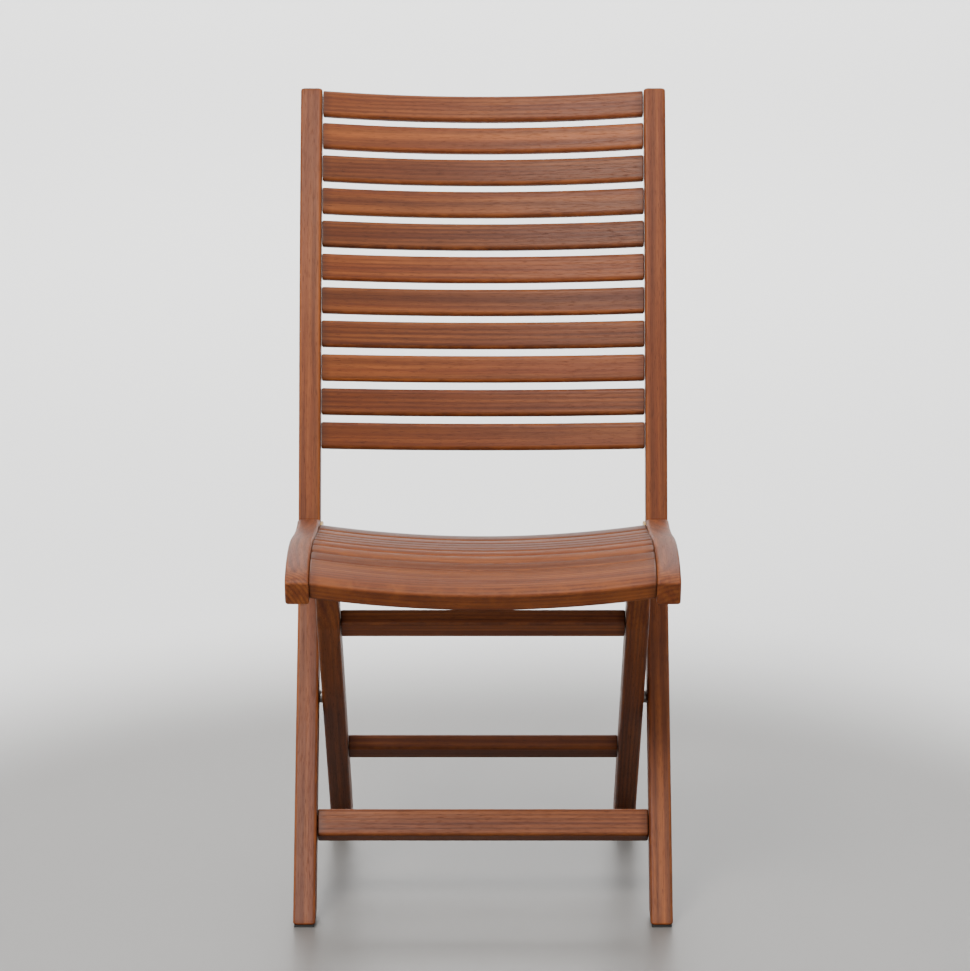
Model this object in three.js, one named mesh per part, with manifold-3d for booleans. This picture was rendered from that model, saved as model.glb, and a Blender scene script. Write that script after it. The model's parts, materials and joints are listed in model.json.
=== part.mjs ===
// Slatted folding chair of solid wood, in millimetres, +Z up, front facing -Y.
//
// Three wooden frames make the chair. The back frame has two cranked uprights that run from the
// front feet to the top of the back, with curved slats and a low front stretcher between them. The
// rear leg frame crosses inside it on two pivot bolts. The seat frame hinges on the uprights and
// rests at its front on two slide pins at the tops of the rear legs.
//
// Side-view places are [y, z] pairs, with y counted backwards from the front edge of the seat.

import * as THREE from 'three';
import { mergeVertices } from 'three/addons/utils/BufferGeometryUtils.js';
import Module from 'manifold-3d';

const wasm = await Module();
wasm.setup();

// ------------------------------------------------------------------ driving dimensions
const overallWidth = 457;        // over the outer faces of the uprights
const overallHeight = 949;       // floor to the front edge of the uprights' tops
const seatHeight = 476;          // floor to the crown of the seat rails
const seatLength = 380;          // front edge of the seat to the seat's hinge line
const hingeDrop = 47;            // crown of the rails down to the hinge line

const uprightThickness = 28;
const legDepth = 46;             // of the uprights below the knee
const stileDepth = 36;           // of the uprights just above the seat
const topDepth = 31;             // of the uprights at the top
const legLean = 34.2;            // degrees from vertical, below the knee
const backLean = 17.9;           // degrees from vertical, above the knee
const topLean = 28;              // degrees from vertical, at the top
const kneeBelowHinge = 56;       // along the front face
const kneeRadius = 90;
const straightBack = 278;        // along the front face, from the knee to the start of the top curve

const railThickness = 28;
const railNoseRise = 20.3;       // height of the rolled nose
const railNoseLength = 85;       // front edge to the crown
const railNoseDepth = 48;        // crown down to the flat underside at the nose
const noseUndercut = 14;         // the nose slopes back by this much below its front edge
const railTaper = 80;            // of the underside, up to the rounded rear end
const railEndRadius = 13.4;      // the rail's rear end is rounded about the hinge
const hingeClearance = 0.5;      // rail end to the uprights' front face
const seatFoldAngle = 97;        // degrees, seat up against the back

const seatDish = 14.5;           // sag of the seat slats at the middle
const seatSlatCount = 8;         // behind the front slat
const seatSlatThickness = 11;
const seatSlatGap = 7;
const frontSlatLength = 50;
const frontSlatFace = 20;        // height of its rolled front face
const frontSlatHollow = 1;       // of its underside
const frontSlatRear = 15.4;      // thickness at its rear edge
const frontSlatGap = 3;
const rearSlatToHinge = 20;      // rear edge of the last seat slat to the hinge line

const backSlatCount = 11;
const backSlatThickness = 14;
const backSlatGap = 9;
const backSlatInset = 5;         // behind the uprights' front face
const backHollow = 22;           // set-back of the back slats at the middle
const topMargin = 2;             // upright's top to the first slat, along the front face
const lowestSlatAboveHinge = 103.5; // hinge line to the lowest slat, along the front face

const rearLegThickness = 28;
const rearLegDepth = 42;
const frameGap = 4;              // between the uprights and the rear legs
const pivotHeight = 236.3;       // floor to the pivot bolts
const slideSetback = 82;         // front edge of the seat to the slide pins
const legEndRadius = 14;         // the rear legs' tops are rounded about the slide pins
const legEndTaper = 70;          // length of the taper below the rounded tops
const legToSlats = 7.5;          // rear legs' tops to the slats above them
const grooveWidth = 6.8;
const grooveDepth = 8;
const grooveWall = 6;            // wood under the groove

const frontStretcherHeight = 100; // floor to its middle
const frontStretcherFace = 34;   // along the leg
const frontStretcherThickness = 26;
const upperStretcherFace = 36;
const lowerStretcherFace = 30;
const rearStretcherThickness = 20;
const upperStretcherUp = 216;    // pivot to the upper rear stretcher, along the leg
const lowerStretcherDown = 141;  // pivot to the lower rear stretcher, along the leg
const rearStretcherOffset = 4;   // towards the rear legs' front edge

const boltRadius = 4;
const boltHeadRadius = 8;
const boltHeadHeight = 3;
const boltHeadBevel = 1;
const nutRadius = 7.5;
const nutHeight = 6;
const washerRadius = 8;
const pinRadius = 3;
const hingePinReach = 16;        // into the rail
const slidePinLength = 20;       // into the rear leg
const slidePinShort = 0.6;       // pin end to the rail's inner face
const plateThickness = 2.4;
const plateEar = 10;             // radius of the plate round the hinge pin
const plateHeight = 66;
const plateWidth = 22;
const plateDrop = 20;            // hinge line down to the plate's middle
const screwHeadRadius = 3.8;
const screwShankRadius = 1.8;
const screwLength = 18;
const screwPoint = 3;
const screwSpacing = 47.5;
const plugRadius = 5;
const plugDepth = 6;
const gliderThickness = 2.5;
const gliderMargin = 2;          // the glides are this much smaller than the feet

const edgeEase = 2.5;            // chamfer of the boards' long edges
const fit = 0.3;                 // gap between pieces that touch
const runningFit = 0.2;          // radial clearance of a pin or bolt in its hole
const past = 1;                  // cuts run this far past the face they start from
const roundSides = 20;           // sides of round hardware
const bendSteps = 10;            // facets along a bent slat

// ------------------------------------------------------------------ places that follow from them
const rad = THREE.MathUtils.degToRad;
const deg = THREE.MathUtils.radToDeg;
const halfWidth = overallWidth / 2;
const innerFace = halfWidth - uprightThickness;       // of the uprights
const slatHalf = innerFace - fit;                     // half the slats' length
const legOuter = innerFace - frameGap;                // outer face of the rear legs
const legInner = legOuter - rearLegThickness;
const footHeight = gliderThickness + fit;

const along = (lean) => new THREE.Vector2(Math.sin(rad(lean)), Math.cos(rad(lean)));
const behind = (direction) => new THREE.Vector2(direction.y, -direction.x);
const offset = (point, direction, distance) => point.clone().addScaledVector(direction, distance);

const hinge = new THREE.Vector2(seatLength, seatHeight - hingeDrop);

// The uprights' front face, walked from the floor to the top: a straight leg, the knee, a straight
// back and a gentle curve. Each stretch has a length and a turn, and starts at a known heading.
const hingeToFace = railEndRadius + hingeClearance;
const faceAtHinge = offset(hinge, behind(along(backLean)), hingeToFace);
const knee = offset(faceAtHinge, along(backLean), -kneeBelowHinge);
const kneeTurn = legLean - backLean;
const kneeTangent = kneeRadius * Math.tan(rad(kneeTurn / 2));
const kneeBend = { start: offset(knee, along(legLean), -kneeTangent),
  end: offset(knee, along(backLean), kneeTangent) };
const legLength = (kneeBend.start.y - footHeight) / Math.cos(rad(legLean));
const curveStart = offset(knee, along(backLean), straightBack);
const curveRise = overallHeight - curveStart.y;
const curveLength = curveRise / Math.cos(rad((topLean + backLean) / 2));
const frontStretches = [
  { length: legLength, turn: 0, steps: 1 },
  { length: kneeRadius * rad(kneeTurn), turn: -kneeTurn, steps: 4 },
  { length: straightBack - kneeTangent, turn: 0, steps: 1 },
  { length: curveLength, turn: topLean - backLean, steps: 6 },
];
const topStretch = frontStretches.at(-1);
const faceLength = frontStretches.reduce((sum, stretch) => sum + stretch.length, 0);
const kneeAlong = legLength + frontStretches[1].length / 2;
const hingeAlong = kneeAlong + kneeBelowHinge;

// A point and heading on the front face, at a distance along it from the floor. The last stretch
// carries on past its end.
function frontFace(distance) {
  const point = offset(kneeBend.start, along(legLean), -legLength);
  let lean = legLean;
  let left = distance;
  for (const stretch of frontStretches) {
    const part = stretch === topStretch ? left : Math.min(left, stretch.length);
    const turned = stretch.turn * part / stretch.length;
    const bend = rad(turned / 2);
    const chord = bend === 0 ? part : part * Math.sin(bend) / bend;
    point.addScaledVector(along(lean + turned / 2), chord);
    lean += turned;
    left -= part;
  }
  return { point, lean };
}

function uprightDepth(distance) {
  const aboveKnee = hingeAlong + hingeToFace;
  if (distance < kneeAlong) return legDepth;
  if (distance < aboveKnee) {
    return THREE.MathUtils.lerp(legDepth, stileDepth, (distance - kneeAlong) / (aboveKnee - kneeAlong));
  }
  return THREE.MathUtils.lerp(stileDepth, topDepth, (distance - aboveKnee) / (faceLength - aboveKnee));
}

// A point inside the uprights, at a distance along the front face and a depth behind it.
function inUpright(distance, depth) {
  const { point, lean } = frontFace(distance);
  return { point: offset(point, behind(along(lean)), depth), lean };
}

// The seat rails' top: a quarter ellipse at the nose, then a smooth fall from the crown to the rear.
const railTopAtHinge = hinge.y + railEndRadius;
function railTop(y) {
  if (y <= railNoseLength) {
    const x = 1 - Math.max(y, 0) / railNoseLength;
    return seatHeight - railNoseRise * (1 - Math.sqrt(1 - x * x));
  }
  const t = (y - railNoseLength) / (seatLength - railNoseLength);
  return THREE.MathUtils.lerp(railTopAtHinge, seatHeight, (1 + Math.cos(Math.PI * t)) / 2);
}

const dish = (x) => seatDish * (1 - (x / slatHalf) ** 2);
const hollow = (x) => backHollow * (1 - (x / slatHalf) ** 2);

// The rear legs: the slide pin lies near their rear edge, and the pivot on their middle line.
const slidePin = new THREE.Vector2(
  slideSetback,
  railTop(slideSetback) - seatSlatThickness - dish(legInner) - legToSlats - legEndRadius,
);
const midLegAlong = (height) => (height - footHeight) / Math.cos(rad(legLean))
  + legDepth / 2 * Math.tan(rad(legLean));
const pivot = inUpright(midLegAlong(pivotHeight), legDepth / 2).point;
const pinOffset = rearLegDepth / 2 - legEndRadius;
const pinReach = slidePin.distanceTo(pivot);
const legAngle = Math.PI + Math.atan2(pivot.y - slidePin.y, pivot.x - slidePin.x)
  + Math.asin(pinOffset / pinReach);
const up = new THREE.Vector2(Math.cos(legAngle), Math.sin(legAngle));
const rearward = new THREE.Vector2(up.y, -up.x);
const inRearLeg = (distance, back) => offset(offset(pivot, up, distance), rearward, back);
const rearFoot = (back) => {
  const at = inRearLeg(0, back);
  return offset(at, up, (footHeight - at.y) / up.y);
};

// The slide pins run in straight grooves, from where they are in use to where they are when folded.
const turnAbout = (point, centre, degrees) => point.clone().rotateAround(centre, rad(degrees));
function foldedPin() {
  const chord = slidePin.clone().sub(grooveAim).normalize();
  const folded = turnAbout(chord, new THREE.Vector2(), -seatFoldAngle);
  const start = turnAbout(slidePin, hinge, -seatFoldAngle);
  const away = start.clone().sub(pivot);
  const half = away.dot(folded);
  return half - Math.sqrt(half * half - away.lengthSq() + pinReach * pinReach);
}
const grooveAim = new THREE.Vector2(seatLength, slidePin.y - (seatHeight - railTopAtHinge));
const grooveLine = grooveAim.clone().sub(slidePin).normalize();
const grooveLength = foldedPin();
const grooveEnd = offset(slidePin, grooveLine, grooveLength);

// ------------------------------------------------------------------ materials
const wood = { roughness: 0.55, metalness: 0 };
const oiled = new THREE.MeshStandardMaterial({ color: 0x8a4f31, ...wood });
const shaded = new THREE.MeshStandardMaterial({ color: 0x7a4229, ...wood });
const plugWood = new THREE.MeshStandardMaterial({ color: 0x5c2f1c, ...wood });
const steel = new THREE.MeshStandardMaterial({ color: 0x8f8c86, roughness: 0.35, metalness: 1 });
const brass = new THREE.MeshStandardMaterial({ color: 0xa8834a, roughness: 0.38, metalness: 1 });
const plastic = new THREE.MeshStandardMaterial({ color: 0x1c1b1a, roughness: 0.6, metalness: 0 });

// ------------------------------------------------------------------ ways to make a solid
const body = new THREE.Group();

function add(name, geometry, material) {
  const mesh = new THREE.Mesh(geometry, material);
  mesh.name = name;
  body.add(mesh);
  return mesh;
}

// A side-view outline carried straight across the chair, from x = start over a thickness.
function across(shape, start, thickness, steps = 1) {
  const options = { depth: thickness, steps, bevelEnabled: false, curveSegments: 8 };
  const geometry = new THREE.ExtrudeGeometry(shape, options);
  const axes = new THREE.Matrix4().makeBasis(
    new THREE.Vector3(0, 1, 0), new THREE.Vector3(0, 0, 1), new THREE.Vector3(1, 0, 0));
  return geometry.applyMatrix4(axes).translate(start, 0, 0);
}

// The same, bent: each station is moved along a side-view direction by a function of x.
function bent(shape, half, direction, amount) {
  const geometry = across(shape, -half, 2 * half, bendSteps);
  const place = geometry.attributes.position;
  for (let i = 0; i < place.count; i++) {
    const move = amount(place.getX(i));
    place.setY(i, place.getY(i) + direction.x * move);
    place.setZ(i, place.getZ(i) + direction.y * move);
  }
  return geometry;
}

// A four-sided section with eased corners, centred on a point and turned to a lean.
function section(centre, lean, height, thickness) {
  const t = along(lean);
  const n = behind(t);
  const corner = (a, b) => offset(offset(centre, t, a), n, b);
  const h = height / 2;
  const w = thickness / 2;
  return new THREE.Shape([
    corner(-h, -w + edgeEase), corner(-h, w - edgeEase), corner(-h + edgeEase, w), corner(h - edgeEase, w),
    corner(h, w - edgeEase), corner(h, -w + edgeEase), corner(h - edgeEase, -w), corner(-h + edgeEase, -w),
  ]);
}

function toSolid(geometry) {
  const bare = geometry.clone();
  bare.deleteAttribute('normal');
  bare.deleteAttribute('uv');
  const merged = mergeVertices(bare, 1e-3);
  return new wasm.Manifold(new wasm.Mesh({
    numProp: 3,
    vertProperties: new Float32Array(merged.attributes.position.array),
    triVerts: new Uint32Array(merged.index.array),
  }));
}

// A piece with other shapes cut away from it.
function cut(geometry, tools) {
  const left = tools.reduce((solid, tool) => solid.subtract(toSolid(tool)), toSolid(geometry));
  const { vertProperties, triVerts } = left.getMesh();
  const result = new THREE.BufferGeometry();
  result.setAttribute('position', new THREE.BufferAttribute(new Float32Array(vertProperties), 3));
  result.setIndex(new THREE.BufferAttribute(new Uint32Array(triVerts), 1));
  return result;
}

// A round bar across the chair, from x = a to x = b at a side-view point.
function bar(point, radius, a, b) {
  return new THREE.CylinderGeometry(radius, radius, Math.abs(b - a), roundSides)
    .rotateZ(Math.PI / 2).translate((a + b) / 2, point.x, point.y);
}

// A turned piece whose profile of [radius, x] points is mirrored for the left side.
function turned(point, profile, side) {
  const points = profile.map(([r, x]) => new THREE.Vector2(r, x));
  return new THREE.LatheGeometry(points, roundSides)
    .rotateZ(-side * Math.PI / 2).translate(0, point.x, point.y);
}

const sides = [['left', -1], ['right', 1]];
const span = (side, inner, thickness) => (side < 0 ? -inner - thickness : inner);

// ------------------------------------------------------------------ outlines
function uprightShape() {
  const stations = [0];
  for (const { length, steps } of frontStretches) {
    const start = stations.at(-1);
    for (let i = 1; i <= steps; i++) stations.push(start + length * i / steps);
  }
  const front = stations.map((s) => frontFace(s).point);
  const footSlant = legDepth * Math.tan(rad(legLean));
  const rear = stations.slice(1).map((s) => inUpright(s, uprightDepth(s)).point);
  rear.unshift(inUpright(footSlant, legDepth).point);
  return new THREE.Shape([...front, ...rear.reverse()]);
}

function railShape() {
  const chordFall = (y) => (seatHeight - railTopAtHinge)
    * (y - railNoseLength) / (seatLength - railNoseLength);
  const grooveBelow = seatHeight - chordFall(slideSetback) - slidePin.y;
  const depth = grooveBelow + grooveWidth / 2 + grooveWall;
  const noseBottom = seatHeight - Math.max(railNoseDepth, depth);
  const topSteps = 12;
  const shape = new THREE.Shape();
  shape.absarc(hinge.x, hinge.y, railEndRadius, -Math.PI / 2, Math.PI / 2, false);
  for (let i = 1; i <= topSteps; i++) {
    const y = THREE.MathUtils.lerp(seatLength, railNoseLength, i / topSteps);
    shape.lineTo(y, railTop(y));
  }
  shape.absellipse(railNoseLength, seatHeight - railNoseRise, railNoseLength, railNoseRise,
    Math.PI / 2, Math.PI, false);
  shape.lineTo(noseUndercut, noseBottom);
  shape.lineTo(railNoseLength, noseBottom);
  const rearBottom = seatLength - railTaper;
  shape.lineTo(rearBottom, seatHeight - chordFall(rearBottom) - depth);
  return shape;
}

function frontSlatShape() {
  const shape = new THREE.Shape();
  const faceBottom = seatHeight - railNoseRise - frontSlatFace;
  const steps = 10;
  shape.moveTo(frontSlatLength, railTop(frontSlatLength));
  for (let i = 1; i <= steps; i++) {
    const y = frontSlatLength * (1 - i / steps) ** 1.5;
    shape.lineTo(y, railTop(y));
  }
  shape.lineTo(noseUndercut, faceBottom);
  shape.lineTo(frontSlatLength / 2, faceBottom + frontSlatHollow);
  shape.lineTo(frontSlatLength, railTop(frontSlatLength) - frontSlatRear);
  return shape;
}

// ------------------------------------------------------------------ back frame
const frontStretcher = inUpright(midLegAlong(frontStretcherHeight), legDepth / 2);
const plateUp = along(backLean);
const plateCentre = inUpright(hingeAlong - plateDrop, stileDepth / 2).point;
const screwSpots = [-1, 1].map((way) => offset(plateCentre, plateUp, way * screwSpacing / 2));

for (const [name, side] of sides) {
  const outer = side * halfWidth;
  const inner = side * innerFace;
  add(`${name}_upright`, cut(across(uprightShape(), span(side, innerFace, uprightThickness),
    uprightThickness), [
    bar(pivot, boltRadius + runningFit, outer + side * past, inner - side * past),
    bar(pivot, boltHeadRadius + fit, outer + side * past, outer - side * (boltHeadHeight + fit)),
    bar(frontStretcher.point, plugRadius + fit, outer + side * past,
      outer - side * (plugDepth + fit)),
    ...screwSpots.map((spot) => bar(spot, screwShankRadius + runningFit, inner - side * past,
      inner + side * (screwLength + fit))),
  ]), oiled);
  add(`${name}_stretcher_plug`, bar(frontStretcher.point, plugRadius, outer, outer - side * plugDepth),
    plugWood);
}

const firstSlatEdge = faceLength - topMargin;
const lowestSlatEdge = hingeAlong + lowestSlatAboveHinge;
const backPitch = (firstSlatEdge - lowestSlatEdge + backSlatGap) / backSlatCount;
const backSlatHeight = backPitch - backSlatGap;
for (let i = 0; i < backSlatCount; i++) {
  const middle = firstSlatEdge - backSlatHeight / 2 - i * backPitch;
  const { point, lean } = inUpright(middle, backSlatInset + backSlatThickness / 2);
  add(`back_slat_${i + 1}`, bent(section(point, lean, backSlatHeight, backSlatThickness), slatHalf,
    behind(along(lean)), hollow), oiled);
}

add('front_stretcher', across(section(frontStretcher.point, legLean, frontStretcherFace,
  frontStretcherThickness), -slatHalf, 2 * slatHalf), oiled);

// ------------------------------------------------------------------ seat frame
const hingePinStart = innerFace - plateThickness;
const hingePinEnd = innerFace + hingePinReach;

for (const [name, side] of sides) {
  const rail = across(railShape(), span(side, innerFace, railThickness), railThickness);
  const groove = new THREE.Shape();
  const half = grooveWidth / 2;
  const heading = Math.atan2(grooveLine.y, grooveLine.x);
  groove.absarc(grooveEnd.x, grooveEnd.y, half, heading - Math.PI / 2, heading + Math.PI / 2, false);
  groove.absarc(slidePin.x, slidePin.y, half, heading + Math.PI / 2, heading + Math.PI * 1.5, false);
  add(`seat_rail_${name}`, cut(rail, [
    across(groove, span(side, innerFace - past, grooveDepth + past), grooveDepth + past),
    bar(hinge, pinRadius + runningFit, side * (innerFace - past), side * (hingePinEnd + fit)),
  ]), oiled);
}

add('seat_front_slat', bent(frontSlatShape(), slatHalf, new THREE.Vector2(0, -1), dish), oiled);

const firstSeatSlat = frontSlatLength + frontSlatGap;
const lastSeatEdge = seatLength - rearSlatToHinge;
const seatPitch = (lastSeatEdge - firstSeatSlat + seatSlatGap) / seatSlatCount;
for (let i = 0; i < seatSlatCount; i++) {
  const front = firstSeatSlat + i * seatPitch;
  const rear = front + seatPitch - seatSlatGap;
  const lean = deg(Math.atan2(rear - front, railTop(rear) - railTop(front)));
  const top = new THREE.Vector2((front + rear) / 2, (railTop(front) + railTop(rear)) / 2);
  const centre = offset(top, behind(along(lean)), seatSlatThickness / 2);
  const shape = section(centre, lean, seatPitch - seatSlatGap, seatSlatThickness);
  add(`seat_slat_${i + 1}`, bent(shape, slatHalf, new THREE.Vector2(0, -1), dish), oiled);
}

// ------------------------------------------------------------------ rear leg frame
const tipAlong = pinReach * Math.cos(Math.asin(pinOffset / pinReach));
const rearLegShape = new THREE.Shape([rearFoot(rearLegDepth / 2),
  inRearLeg(tipAlong, rearLegDepth / 2)]);
const taperStart = inRearLeg(tipAlong - legEndTaper, -rearLegDepth / 2);
rearLegShape.absarc(slidePin.x, slidePin.y, legEndRadius, legAngle - Math.PI / 2,
  legAngle + Math.PI / 2, false);
rearLegShape.lineTo(taperStart.x, taperStart.y);
const frontCorner = rearFoot(-rearLegDepth / 2);
rearLegShape.lineTo(frontCorner.x, frontCorner.y);

const rearLean = deg(Math.atan2(up.x, up.y));
const upperStretcher = inRearLeg(upperStretcherUp, -rearStretcherOffset);
const lowerStretcher = inRearLeg(-lowerStretcherDown, -rearStretcherOffset);

for (const [name, side] of sides) {
  const outer = side * legOuter;
  const inner = side * legInner;
  const plugSpots = [['upper', upperStretcher], ['lower', lowerStretcher]];
  add(`rear_leg_${name}`, cut(across(rearLegShape, span(side, legInner, rearLegThickness),
    rearLegThickness), [
    bar(pivot, boltRadius + runningFit, outer + side * past, inner - side * past),
    bar(pivot, nutRadius + fit, inner - side * past, inner + side * (nutHeight + fit)),
    bar(slidePin, pinRadius + runningFit, outer + side * past,
      outer - side * (slidePinLength + fit)),
    ...plugSpots.map(([, spot]) => bar(spot, plugRadius + fit, outer + side * past,
      outer - side * (plugDepth + fit))),
  ]), oiled);
  for (const [level, spot] of plugSpots) {
    add(`rear_${level}_plug_${name}`, bar(spot, plugRadius, outer, outer - side * plugDepth), plugWood);
  }
}

const rearSpan = legInner - fit;
add('rear_upper_stretcher', across(section(upperStretcher, rearLean, upperStretcherFace,
  rearStretcherThickness), -rearSpan, 2 * rearSpan), shaded);
add('rear_lower_stretcher', across(section(lowerStretcher, rearLean, lowerStretcherFace,
  rearStretcherThickness), -rearSpan, 2 * rearSpan), shaded);

// ------------------------------------------------------------------ hardware
// A washer's or nut's profile, between two radii and from x = a to x = b.
const ring = (inside, outside, a, b) => [
  [inside, a], [outside, a], [outside, b], [inside, b], [inside, a]];

// A hinge plate: an ear round the hinge pin on a straight leaf along the upright.
function plateShape() {
  const shape = new THREE.Shape();
  const heading = Math.atan2(plateUp.y, plateUp.x);
  const end = plateHeight / 2;
  shape.absarc(hinge.x, hinge.y, plateEar, heading, heading + Math.PI, false);
  for (const [rise, edge] of [[-end, -1], [-end, 1], [end, 1], [end, -1], [plateEar + plateDrop, -1]]) {
    const spot = offset(offset(plateCentre, plateUp, rise), behind(plateUp), edge * plateWidth / 2);
    shape.lineTo(spot.x, spot.y);
  }
  return shape;
}

for (const [name, side] of sides) {
  const shankEnd = legInner + fit;
  const headTop = halfWidth - fit;
  const headBottom = halfWidth - boltHeadHeight;
  add(`pivot_bolt_${name}`, turned(pivot, [
    [0, shankEnd], [boltRadius, shankEnd], [boltRadius, headBottom], [boltHeadRadius, headBottom],
    [boltHeadRadius - boltHeadBevel, headTop], [0, headTop],
  ], side), steel);
  add(`pivot_washer_${name}`, turned(pivot, ring(boltRadius + runningFit, washerRadius,
    legOuter + fit, innerFace - fit), side), steel);
  add(`pivot_nut_${name}`, turned(pivot, ring(boltRadius + runningFit, nutRadius,
    legInner + fit, legInner + nutHeight), side), steel);

  const through = [side * (innerFace + past), side * (hingePinStart - past)];
  const plateFace = innerFace - plateThickness - fit;
  add(`hinge_plate_${name}`, cut(across(plateShape(), span(side, plateFace, plateThickness),
    plateThickness), [
    bar(hinge, pinRadius + runningFit, ...through),
    ...screwSpots.map((spot) => bar(spot, screwHeadRadius + fit, ...through)),
  ]), brass);
  add(`hinge_pin_${name}`, bar(hinge, pinRadius, side * hingePinStart, side * hingePinEnd), steel);
  screwSpots.forEach((spot, i) => {
    add(`hinge_screw_${name}_${i + 1}`, turned(spot, [
      [0, hingePinStart], [screwHeadRadius, hingePinStart], [screwHeadRadius, innerFace - fit],
      [screwShankRadius, innerFace - fit],
      [screwShankRadius, innerFace + screwLength - screwPoint], [0, innerFace + screwLength],
    ], side), brass);
  });
  add(`slide_pin_${name}`, bar(slidePin, pinRadius, side * (legOuter - slidePinLength),
    side * (innerFace - slidePinShort)), steel);
}

// Glides under the four feet, lying flat on the floor.
function glide(name, side, inner, thickness, front, rear) {
  const shape = new THREE.Shape([
    new THREE.Vector2(front + gliderMargin, 0), new THREE.Vector2(rear - gliderMargin, 0),
    new THREE.Vector2(rear - gliderMargin, gliderThickness),
    new THREE.Vector2(front + gliderMargin, gliderThickness),
  ]);
  const width = thickness - 2 * gliderMargin;
  add(name, across(shape, span(side, inner + gliderMargin, width), width), plastic);
}
const uprightFoot = [frontFace(0).point.x,
  inUpright(legDepth * Math.tan(rad(legLean)), legDepth).point.x];
const rearLegFoot = [frontCorner.x, rearFoot(rearLegDepth / 2).x];
for (const [name, side] of sides) {
  glide(`front_glide_${name}`, side, innerFace, uprightThickness, ...uprightFoot);
  glide(`rear_glide_${name}`, side, legInner, rearLegThickness, ...rearLegFoot);
}

// ------------------------------------------------------------------ origin: middle of the footprint
const box = new THREE.Box3().setFromObject(body);
body.position.set(0, -(box.min.y + box.max.y) / 2, -box.min.z);

const chair = new THREE.Group();
chair.add(body);
chair.updateMatrixWorld(true);

export default chair;
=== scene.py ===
"""Folding chair of oiled wood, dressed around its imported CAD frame.

Every wooden piece is a board: rings of points worked out from two parameters, one along the board and
one round its eased section. Side-view places are (y, z), and the boards' grain runs along them.
"""
import json

import bpy
import numpy as np
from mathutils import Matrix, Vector


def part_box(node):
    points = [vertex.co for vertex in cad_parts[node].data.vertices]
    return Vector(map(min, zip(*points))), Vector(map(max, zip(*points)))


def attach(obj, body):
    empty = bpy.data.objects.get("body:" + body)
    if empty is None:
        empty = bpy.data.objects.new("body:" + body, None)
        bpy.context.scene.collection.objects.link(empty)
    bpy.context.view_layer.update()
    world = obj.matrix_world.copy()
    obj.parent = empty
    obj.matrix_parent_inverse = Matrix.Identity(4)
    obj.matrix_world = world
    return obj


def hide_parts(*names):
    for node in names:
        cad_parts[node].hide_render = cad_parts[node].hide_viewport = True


bl_info = {
    "name": "Slatted folding chair",
    "version": (1, 0, 0),
    "blender": (4, 5, 0),
    "location": "View3D > Sidebar > Chair",
    "description": "Builds the boards, hardware and finishes of a slatted wooden folding chair",
    "category": "Object",
}

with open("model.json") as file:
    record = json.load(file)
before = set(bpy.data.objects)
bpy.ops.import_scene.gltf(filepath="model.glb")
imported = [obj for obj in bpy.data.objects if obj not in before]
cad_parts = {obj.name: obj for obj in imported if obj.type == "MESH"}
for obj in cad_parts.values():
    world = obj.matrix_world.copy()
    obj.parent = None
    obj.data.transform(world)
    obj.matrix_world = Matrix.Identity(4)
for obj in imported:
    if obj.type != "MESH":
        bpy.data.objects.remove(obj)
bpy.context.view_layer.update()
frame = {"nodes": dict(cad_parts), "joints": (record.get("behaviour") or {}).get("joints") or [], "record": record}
JOINTS = {joint["name"]: joint for joint in frame["joints"]}
HINGE = np.array(JOINTS["seat_fold"]["pos_m"][1:])
PIVOT = np.array(JOINTS["leg_fold"]["pos_m"][1:])
SIDES = {"left": -1, "right": 1}
MM = 0.001
SLIVER = 0.01 * MM
ROUND = 56


# ------------------------------------------------------------------ settings
def length(name, value, text):
    """A length in metres, written here in millimetres."""
    return bpy.props.FloatProperty(name=name, description=text, default=value * MM, min=0,
                                   precision=4, unit="LENGTH")


def lean(name, value, text):
    """An angle in degrees, kept as a plain number."""
    return bpy.props.FloatProperty(name=name, description=text, default=value)


def colour(name, value, text):
    """A linear colour."""
    return bpy.props.FloatVectorProperty(name=name, description=text, default=value, size=4,
                                         subtype="COLOR", min=0, max=1)


class ChairFrameSettings(bpy.types.PropertyGroup):
    """Sizes of the back frame and the rear legs."""
    leg_depth: length("Leg depth", 46, "Depth of the uprights below the knee")
    stile_depth: length("Stile depth", 36, "Depth of the uprights just above the seat")
    top_depth: length("Top depth", 31, "Depth of the uprights at the top")
    leg_lean: lean("Leg lean", 34.2, "Degrees from vertical below the knee")
    back_lean: lean("Back lean", 17.9, "Degrees from vertical above the knee")
    top_lean: lean("Top lean", 28.0, "Degrees from vertical at the top")
    face_behind_hinge: length("Face behind hinge", 13.9, "Hinge line to the uprights' front face")
    knee_below_hinge: length("Knee below hinge", 56, "Along the front face")
    knee_radius: length("Knee radius", 90, "Bend of the uprights' front face at the knee")
    straight_back: length("Straight back", 278, "Knee to the start of the top curve")
    rear_leg_depth: length("Rear leg depth", 42, "Depth of the rear legs")
    rear_tip: length("Rear leg tip", 14, "Radius of the rear legs' rounded tops")
    rear_taper: length("Rear leg taper", 70, "The front edge tapers in over this much of the top")
    stretcher_thickness: length("Front stretcher thickness", 26, "Across its face")
    stretcher_face: length("Front stretcher face", 34, "Along the leg")
    rear_stretcher_thickness: length("Rear stretcher thickness", 20, "Across their faces")
    upper_face: length("Upper rear stretcher face", 36, "Along the rear legs")
    lower_face: length("Lower rear stretcher face", 30, "Along the rear legs")
    ease: length("Eased edge", 3.5, "Radius of the boards' long edges")
    sanded: length("Sanded off", 0.5, "Off each side, so that bolts and plugs stand just proud")


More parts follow.
